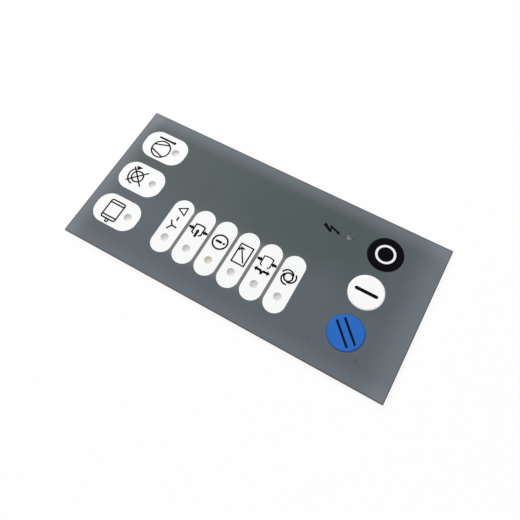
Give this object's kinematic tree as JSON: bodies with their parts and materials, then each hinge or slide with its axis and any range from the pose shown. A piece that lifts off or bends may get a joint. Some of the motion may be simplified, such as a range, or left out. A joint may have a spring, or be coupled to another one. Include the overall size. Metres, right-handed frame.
{
  "type": "membrane keypad",
  "caption": "Flat laminated control panel with white indicator fields, signal lamps and round keys on snap domes; sticks to a front plate by its adhesive back.",
  "frame": {"origin": "centre of the rear face, on the release liner", "axes": "+X along the long side towards the keys, +Y across towards the stop key, +Z out of the front face"},
  "size_m": [0.2, 0.095, 0.0019],
  "materials": {
    "overlay_film": "fine matte texture",
    "white_print": "matte print",
    "lamp_lens": "frosted",
    "clear_lens": "clear, gloss",
    "black_key": "satin",
    "white_key": "satin",
    "blue_key": "satin",
    "dome_steel": "bright rolled",
    "diode_resin": "moulded",
    "clear_adhesive": "tacky, clear",
    "spacer_film": "translucent",
    "silver_print": "screen-printed silver",
    "circuit_film": "translucent",
    "rear_adhesive": "tacky, clear",
    "liner_paper": "coated kraft paper"
  },
  "bodies": {
    "panel": {"graphic_overlay": "overlay_film", "overlay_adhesive": "clear_adhesive", "key_spacer": "spacer_film", "dome_spacer": "spacer_film", "silver_tracks": "silver_print", "circuit_film": "circuit_film", "rear_adhesive": "rear_adhesive", "release_liner": "liner_paper", "compressor_field": "white_print", "rotation_field": "white_print", "motor_field": "white_print", "star_delta_field": "white_print", "load_field": "white_print", "alert_field": "white_print", "service_field": "white_print", "idle_field": "white_print", "fan_field": "white_print", "compressor_lens": "lamp_lens", "rotation_lens": "lamp_lens", "motor_lens": "lamp_lens", "star_delta_lens": "lamp_lens", "load_lens": "lamp_lens", "alert_lens": "lamp_lens", "service_lens": "lamp_lens", "idle_lens": "lamp_lens", "fan_lens": "lamp_lens", "power_lens": "clear_lens", "compressor_led": "diode_resin", "rotation_led": "diode_resin", "motor_led": "diode_resin", "star_delta_led": "diode_resin", "load_led": "diode_resin", "alert_led": "diode_resin", "service_led": "diode_resin", "idle_led": "diode_resin", "fan_led": "diode_resin", "power_led": "diode_resin", "stop_dome": "dome_steel", "start_dome": "dome_steel", "reset_dome": "dome_steel"},
    "stop_button": {"stop_key": "black_key"},
    "start_button": {"start_key": "white_key"},
    "reset_button": {"reset_key": "blue_key"}
  },
  "joints": [
    {"name": "stop_press", "type": "slide", "parent": "panel", "child": "stop_button", "axis": [0, 0, -1], "range_m": [0, 0.00035], "stiffness_N_per_m": 6000, "deforming": ["stop_dome"]},
    {"name": "start_press", "type": "slide", "parent": "panel", "child": "start_button", "axis": [0, 0, -1], "range_m": [0, 0.00035], "stiffness_N_per_m": 6000, "deforming": ["start_dome"]},
    {"name": "reset_press", "type": "slide", "parent": "panel", "child": "reset_button", "axis": [0, 0, -1], "range_m": [0, 0.00035], "stiffness_N_per_m": 6000, "deforming": ["reset_dome"]}
  ]
}
